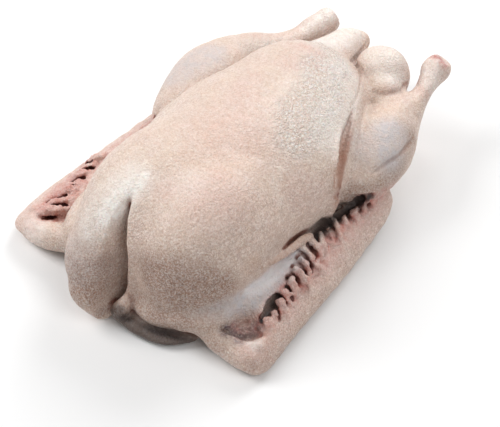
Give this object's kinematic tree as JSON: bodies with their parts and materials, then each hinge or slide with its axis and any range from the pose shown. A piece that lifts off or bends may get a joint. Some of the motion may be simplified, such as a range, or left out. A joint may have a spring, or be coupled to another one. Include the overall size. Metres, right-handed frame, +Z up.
{
  "type": "whole duck",
  "caption": "Plucked whole duck lying on its back, breast up, wings folded at the sides and legs pointing back.",
  "frame": {"origin": "middle of the footprint, on the surface that the duck's back rests on", "axes": "+Z up, out of the breast; +Y from the neck towards the tail; +X towards the side of the raised fat"},
  "size_m": [0.2495, 0.3658, 0.1203],
  "materials": {
    "duck_skin": "moist raw skin, satin"
  },
  "bodies": {
    "root": {"duck": "duck_skin"}
  },
  "joints": []
}
